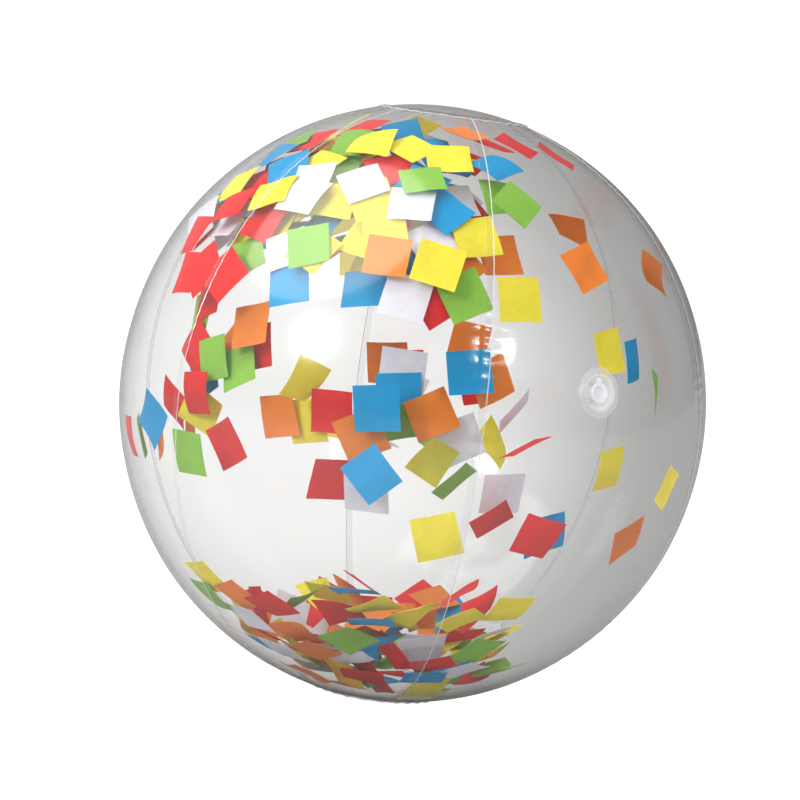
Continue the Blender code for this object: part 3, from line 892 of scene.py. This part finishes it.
def node_pose(node):
    """The pose of a CAD square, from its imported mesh: its corners are the points furthest from its middle."""
    points = np.array([v.co for v in frame["nodes"][node].data.vertices])
    middle = points.mean(0)
    spread = points - middle
    normal = np.linalg.svd(spread)[2][2]
    if normal @ middle < 0:
        normal = -normal
    flat = spread - np.outer(spread @ normal, normal)
    corner = flat[np.argmax(np.linalg.norm(flat, axis=1))]
    diagonal = Vector(corner).normalized()
    facing = Vector(normal)
    side = Matrix.Rotation(radians(45), 3, facing) @ diagonal
    along = facing.cross(side)
    pose = Matrix((side, along, facing)).transposed().to_4x4()
    return Matrix.Translation(Vector(middle)) @ pose


def curled_points(draw):
    """A grid of points of one square's middle, cut a little out of true and curled one way."""
    steps = np.linspace(-0.5, 0.5, SQUARE_STEPS + 1)
    u, v = np.meshgrid(steps, steps, indexing="ij")
    wide = SQUARE_SIDE * draw.uniform(*CUT_SIDES)
    tall = SQUARE_SIDE * draw.uniform(*CUT_SIDES)
    x = u * wide * (1 + draw.uniform(-CUT_TAPER, CUT_TAPER) * v)
    x = x + v * SQUARE_SIDE * draw.uniform(-CUT_SKEW, CUT_SKEW)
    y = v * tall * (1 + draw.uniform(-CUT_TAPER, CUT_TAPER) * u)
    lean = draw.choice((0, 0, 90, 90, 45, 30)) + draw.uniform(-8, 8)
    radius = draw.choice((1, 1, 1, -1)) * draw.choice(CURL_RADII) * MM
    a = x * cos(radians(lean)) + y * sin(radians(lean))
    b = -x * sin(radians(lean)) + y * cos(radians(lean))
    bent = radius * np.sin(a / radius)
    z = radius * (np.cos(a / radius) - 1)
    z += RIPPLE_HEIGHT * np.sin(b / SQUARE_SIDE * draw.uniform(3, 7) + draw.uniform(0, tau))
    x = bent * cos(radians(lean)) - b * sin(radians(lean))
    y = bent * sin(radians(lean)) + b * cos(radians(lean))
    return np.stack([x, y, z], axis=-1)


def placed(points, pose):
    matrix = np.array(pose)
    return points @ matrix[:3, :3].T + matrix[:3, 3]


def in_zone(group, points):
    """True where a square stays in its group's part of the ball as the group turns round +Z."""
    r, z = np.hypot(points[..., 0], points[..., 1]), points[..., 2]
    depth = EQUATOR_RADIUS * (1 - np.sqrt((r / EQUATOR_RADIUS) ** 2 + (z / POLE_RADIUS) ** 2))
    if (depth < WALL_GAP).any():
        return False
    if group == "confetti_crown":
        return bool((z > np.where(depth < CROWN_DEEP, CROWN_FLOOR, CROWN_DEEP_FLOOR)).all())
    if group == "confetti_middle":
        top = np.where(depth < MIDDLE_DEEP, MIDDLE_TOP, MIDDLE_DEEP_TOP)
        return bool(((z < top) & (z > MIDDLE_FLOOR) & (r > MIDDLE_RADIUS)).all())
    return bool((z < PILE_TOP).all())


def grid_tree(points):
    """What a square takes up, for the test that no two squares cut through each other."""
    rows, columns = points.shape[:2]
    faces = [
        (i * columns + j, i * columns + j + 1, (i + 1) * columns + j + 1, (i + 1) * columns + j)
        for i in range(rows - 1)
        for j in range(columns - 1)
    ]
    return BVHTree.FromPolygons(points.reshape(-1, 3).tolist(), faces, epsilon=SQUARE_THICKNESS)


class Heap:
    """The squares already placed, of every group."""

    def __init__(self):
        self.middles, self.trees = [], []

    def free(self, points):
        middle = points.reshape(-1, 3).mean(0)
        tree = grid_tree(points)
        for other, other_tree in zip(self.middles, self.trees):
            if np.linalg.norm(other - middle) < 1.5 * SQUARE_SIDE and tree.overlap(other_tree):
                return False
        return True

    def add(self, points):
        self.middles.append(points.reshape(-1, 3).mean(0))
        self.trees.append(grid_tree(points))


def squares_mesh(name, grids, draw):
    """One mesh of closed paper squares, each with its own tone."""
    points, faces, tones = [], [], []
    size = SQUARE_STEPS + 1
    border = [(0, j) for j in range(size)] + [(i, size - 1) for i in range(1, size)]
    border += [(size - 1, j) for j in range(size - 2, -1, -1)] + [(i, 0) for i in range(size - 2, 0, -1)]
    for grid in grids:
        across = np.gradient(grid, axis=0)
        along = np.gradient(grid, axis=1)
        normal = np.cross(across, along)
        normal /= np.linalg.norm(normal, axis=-1, keepdims=True)
        start = len(points)
        for side in (1, -1):
            points += (grid + side * normal * SQUARE_THICKNESS / 2).reshape(-1, 3).tolist()
        tones += [draw.uniform(*TONES)] * (2 * size * size)
        other = start + size * size
        for i in range(SQUARE_STEPS):
            for j in range(SQUARE_STEPS):
                a, b, c, d = i * size + j, (i + 1) * size + j, (i + 1) * size + j + 1, i * size + j + 1
                faces.append((start + a, start + b, start + c, start + d))
                faces.append((other + d, other + c, other + b, other + a))
        for (i, j), (k, m) in zip(border, border[1:] + border[:1]):
            a, b = i * size + j, k * size + m
            faces.append((start + a, start + b, other + b, other + a))
    mesh = bpy.data.meshes.new(name)
    mesh.from_pydata(points, [], faces)
    face_outwards(mesh)
    tone = mesh.attributes.new("tone", "FLOAT", "POINT")
    tone.data.foreach_set("value", tones)
    return mesh


def weighted(draw, chances):
    return draw.choices(list(chances), list(chances.values()))[0]


def drawn_squares(draw):
    """Tries for the squares that lie at random: group, colour and pose."""
    while True:
        pick = draw.random()
        if pick < CROWN_PICKS:
            front = draw.random() < CROWN_FRONT_SHARE
            heading = CAMERA_AZIMUTH + (draw.uniform(-104, 12) if front else draw.uniform(-190, -86))
            latitude = draw.triangular(21, 80, 36)
            depth = draw.triangular(3, 44, 6)
            tilt = draw.gauss(0, 24)
            yield "confetti_crown", weighted(draw, CROWN_CHANCES), heading, latitude, depth, tilt
        elif pick < PILE_PICKS:
            heading = CAMERA_AZIMUTH + draw.uniform(-180, 180)
            latitude = -90 + draw.triangular(4, 35, 28)
            depth = draw.triangular(3, 34, 6)
            tilt = draw.gauss(0, 26)
            yield "confetti_pile", weighted(draw, PILE_CHANCES), heading, latitude, depth, tilt
        else:
            heading = CAMERA_AZIMUTH + draw.uniform(-200, -70)
            latitude = draw.uniform(-18, 18)
            depth = draw.triangular(4, 60, 34)
            tilt = draw.gauss(0, 35)
            yield "confetti_middle", weighted(draw, PILE_CHANCES), heading, latitude, depth, tilt


def make_confetti(papers):
    draw = random.Random(CURL_SEED)
    heap = Heap()
    bodies = frame["record"]["behaviour"]["bodies"]
    groups = [body for body in bodies if body.startswith("confetti")]
    for body in groups:
        for node in bodies[body]:
            colour = node.split("_")[1]
            grid = placed(curled_points(draw), node_pose(node))
            heap.add(grid)
            name = f"paper_{node}"
            piece = link_object(name, squares_mesh(name, [grid], draw), [papers[colour]], PAPER_SHARP_ANGLE)
            finish_piece(piece, body, f"{colour}_paper", node)
    more = {}
    for body, squares in MORE_SQUARES.items():
        for colour, heading, latitude, depth, spin, tilt in squares:
            curled = curled_points(draw)
            for step in range(DEPTH_TRIES):
                pose = square_pose(heading, latitude, depth + step * DEPTH_STEP, spin, tilt)
                grid = placed(curled, pose)
                if in_zone(body, grid) and heap.free(grid):
                    heap.add(grid)
                    more.setdefault((body, colour), []).append(grid)
                    break
    scatter = random.Random(SCATTER_SEED)
    counts = dict(RANDOM_TOTALS)
    for body, colour, heading, latitude, depth, tilt in drawn_squares(scatter):
        if not any(counts.values()):
            break
        pose = square_pose(heading, latitude, depth, scatter.uniform(0, 90), tilt)
        grid = placed(curled_points(scatter), pose)
        if counts[body] and in_zone(body, grid) and heap.free(grid):
            heap.add(grid)
            more.setdefault((body, colour), []).append(grid)
            counts[body] -= 1
    for (body, colour), grids in more.items():
        name = f"paper_{body.split('_')[1]}_{colour}_more"
        piece = link_object(name, squares_mesh(name, grids, draw), [papers[colour]], PAPER_SHARP_ANGLE)
        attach(piece, body)


# ---- Studio ----


def camera_axes():
    """The camera's right, up and back, in the ball's frame."""
    azimuth, elevation, roll = (radians(a) for a in (CAMERA_AZIMUTH, CAMERA_ELEVATION, CAMERA_ROLL))
    back = Vector((sin(azimuth) * cos(elevation), -cos(azimuth) * cos(elevation), sin(elevation)))
    right = Vector((0, 0, 1)).cross(back).normalized()
    up = back.cross(right)
    return right * cos(roll) + up * sin(roll), up * cos(roll) - right * sin(roll), back


def seen_from_camera(direction):
    """A direction along the camera's right, up and back, as a unit vector in the ball's frame."""
    right, up, back = camera_axes()
    return (right * direction[0] + up * direction[1] + back * direction[2]).normalized()


def camera_place():
    right, up, back = camera_axes()
    return back * CAMERA_DISTANCE - right * BALL_RIGHT + up * BALL_DOWN


def make_camera():
    right, up, back = camera_axes()
    lens = bpy.data.cameras.new("camera")
    lens.lens = CAMERA_LENS
    lens.sensor_width = SENSOR_WIDTH
    lens.clip_start, lens.clip_end = 0.05, 60.0
    camera = bpy.data.objects.new("camera", lens)
    bpy.context.scene.collection.objects.link(camera)
    camera.matrix_world = Matrix.Translation(camera_place()) @ Matrix((right, up, back)).transposed().to_4x4()
    bpy.context.scene.camera = camera


def make_lamp(name, direction, distance, size, power):
    """A round soft box that looks at the ball."""
    towards = seen_from_camera(direction)
    light = bpy.data.lights.new(name, "AREA")
    light.shape = "DISK"
    light.size = size
    light.energy = power
    lamp = bpy.data.objects.new(name, light)
    bpy.context.scene.collection.objects.link(lamp)
    turn = towards.to_track_quat("Z", "Y").to_matrix().to_4x4()
    lamp.matrix_world = Matrix.Translation(towards * distance) @ turn


def painted_backdrop_shading(tree, direction):
    """Painted light and shade on the backdrop seen through the film, along a direction: brightest towards
    BRIGHT_SIDE, which is behind the ball's left half in the main camera's view, dim around that and bright
    again far off."""
    middle = seen_from_camera(BRIGHT_SIDE)
    aside = add_node(
        tree, "ShaderNodeVectorMath", {"operation": "DISTANCE"}, _0=direction, _1=tuple(middle)
    ).outputs["Value"]
    near = add_node(
        tree, "ShaderNodeMapRange", {"interpolation_type": "SMOOTHSTEP"},
        Value=aside, _1=DIM_START, _2=DIM_FULL, _3=PAINTED_BACKDROP_BRIGHT, _4=PAINTED_BACKDROP_SHADE,
    ).outputs[0]
    far = add_node(
        tree, "ShaderNodeMapRange", {"interpolation_type": "SMOOTHSTEP"},
        Value=aside, _1=FAR_START, _2=FAR_FULL, _3=0.0, _4=PAINTED_BACKDROP_BRIGHT - PAINTED_BACKDROP_SHADE,
    ).outputs[0]
    return add_math(tree, "ADD", near, far)


def seen_through_film(tree, path):
    """1 for what the camera sees through clear film, 0 for all else: where the backdrop's painted light and
    shade go.
    """
    behind = add_math(tree, "GREATER_THAN", path.outputs["Transparent Depth"], 0.5)
    return add_math(tree, "MULTIPLY", behind, path.outputs["Is Camera Ray"])


def make_world():
    """White where the camera sees it straight, painted light and shade (a backdrop dimmed by direction) where
    it sees it through the film, and for what it lights and what the film mirrors a room that is brighter on one
    side."""
    world = bpy.data.worlds.new("studio")
    world.use_nodes = True
    bpy.context.scene.world = world
    tree = world.node_tree
    tree.nodes.clear()
    output = tree.nodes.new("ShaderNodeOutputWorld")
    path = tree.nodes.new("ShaderNodeLightPath")
    place = tree.nodes.new("ShaderNodeTexCoord").outputs["Generated"]
    side = add_node(
        tree,
        "ShaderNodeVectorMath",
        {"operation": "DOT_PRODUCT"},
        _0=place,
        _1=tuple(seen_from_camera(ROOM_SIDE)),
    ).outputs["Value"]
    mirrored = add_node(
        tree, "ShaderNodeMapRange", {"interpolation_type": "SMOOTHSTEP"},
        Value=side, _1=ROOM_EDGE_DARK, _2=ROOM_EDGE_BRIGHT, _3=ROOM_DARK, _4=ROOM_BRIGHT,
    ).outputs[0]
    above = add_node(
        tree,
        "ShaderNodeVectorMath",
        {"operation": "DOT_PRODUCT"},
        _0=place,
        _1=tuple(seen_from_camera(AMBIENT_SIDE)),
    ).outputs["Value"]
    ambient = add_node(
        tree, "ShaderNodeMapRange", Value=above, _1=-1.0, _2=1.0, _3=AMBIENT_DARK, _4=AMBIENT_BRIGHT
    ).outputs[0]
    seen, gloss = path.outputs["Is Camera Ray"], path.outputs["Is Glossy Ray"]
    rest = add_math(tree, "SUBTRACT", add_math(tree, "SUBTRACT", 1.0, seen), gloss)
    through = seen_through_film(tree, path)
    # Through the film the camera sees painted shade: the backdrop dimmed by direction, not the even white it
    # sees straight.
    behind = add_math(tree, "MULTIPLY", painted_backdrop_shading(tree, place), through)
    direct = add_math(tree, "SUBTRACT", seen, through)
    strength = add_math(tree, "MULTIPLY_ADD", direct, BACKDROP_DIRECT, behind)
    strength = add_math(tree, "MULTIPLY_ADD", mirrored, gloss, strength)
    strength = add_math(tree, "MULTIPLY_ADD", ambient, rest, strength)
    light = add_node(tree, "ShaderNodeBackground", Color=STUDIO_WHITE, Strength=strength)
    tree.links.new(light.outputs[0], output.inputs["Surface"])


def make_floor():
    """A matt pale floor with a painted glow where the camera sees it straight, so no horizon or shadow shows.
    Through the film it shows painted light and shade instead: an emitted backdrop brightness along the
    directions from the main camera's place."""
    shape = bmesh.new()
    bmesh.ops.create_circle(shape, cap_ends=True, segments=96, radius=FLOOR_RADIUS)
    mesh = bpy.data.meshes.new("floor")
    shape.to_mesh(mesh)
    shape.free()
    material, tree, output = start_material("pale_floor")
    eye = camera_place()
    where = add_node(tree, "ShaderNodeNewGeometry").outputs["Position"]
    away = add_node(
        tree, "ShaderNodeVectorMath", {"operation": "SUBTRACT"}, _0=where, _1=tuple(eye)
    ).outputs[0]
    direction = add_node(tree, "ShaderNodeVectorMath", {"operation": "NORMALIZE"}, _0=away).outputs[0]
    path = tree.nodes.new("ShaderNodeLightPath")
    # Painted light: a glow that only the camera sees, which fills in the ball's shadow and the horizon.
    glow = add_math(tree, "MULTIPLY", path.outputs["Is Camera Ray"], PAINTED_FLOOR_GLOW)
    matt = add_node(tree, "ShaderNodeBsdfDiffuse", Color=FLOOR_GREY)
    painted_floor_shine = add_node(tree, "ShaderNodeEmission", Strength=glow)
    direct = add_node(tree, "ShaderNodeAddShader", _0=matt.outputs[0], _1=painted_floor_shine.outputs[0])
    # Through the film the floor shows painted shade: an emitted brightness that dims by direction from the
    # camera's place.
    behind = add_node(
        tree, "ShaderNodeEmission", Color=STUDIO_WHITE, Strength=painted_backdrop_shading(tree, direction)
    )
    both = add_node(
        tree,
        "ShaderNodeMixShader",
        Fac=seen_through_film(tree, path),
        _1=direct.outputs[0],
        _2=behind.outputs[0],
    )
    tree.links.new(both.outputs[0], output.inputs["Surface"])
    floor = link_object("floor", mesh, [material])
    floor.location.z = FLOOR_HEIGHT


def main():
    scene = bpy.context.scene
    scene.view_settings.view_transform = "Standard"
    scene.cycles.transparent_max_bounces = 40
    make_camera()
    make_world()
    make_floor()
    for name, settings in LAMPS.items():
        make_lamp(name, *settings)
    film, weld, bead, moulded = (film_material(name, **look) for name, look in FILM_LOOKS.items())
    papers = {
        name: paper_material(f"{name}_paper_look", colour) for name, colour in PAPER_COLOURS.items()
    }
    for number in range(GORES):
        make_gore(number, [film, weld, bead])
    for node in ("top_cap", "bottom_cap"):
        make_cap(node, [film, weld, bead])
    make_valve(moulded)
    make_confetti(papers)


main()
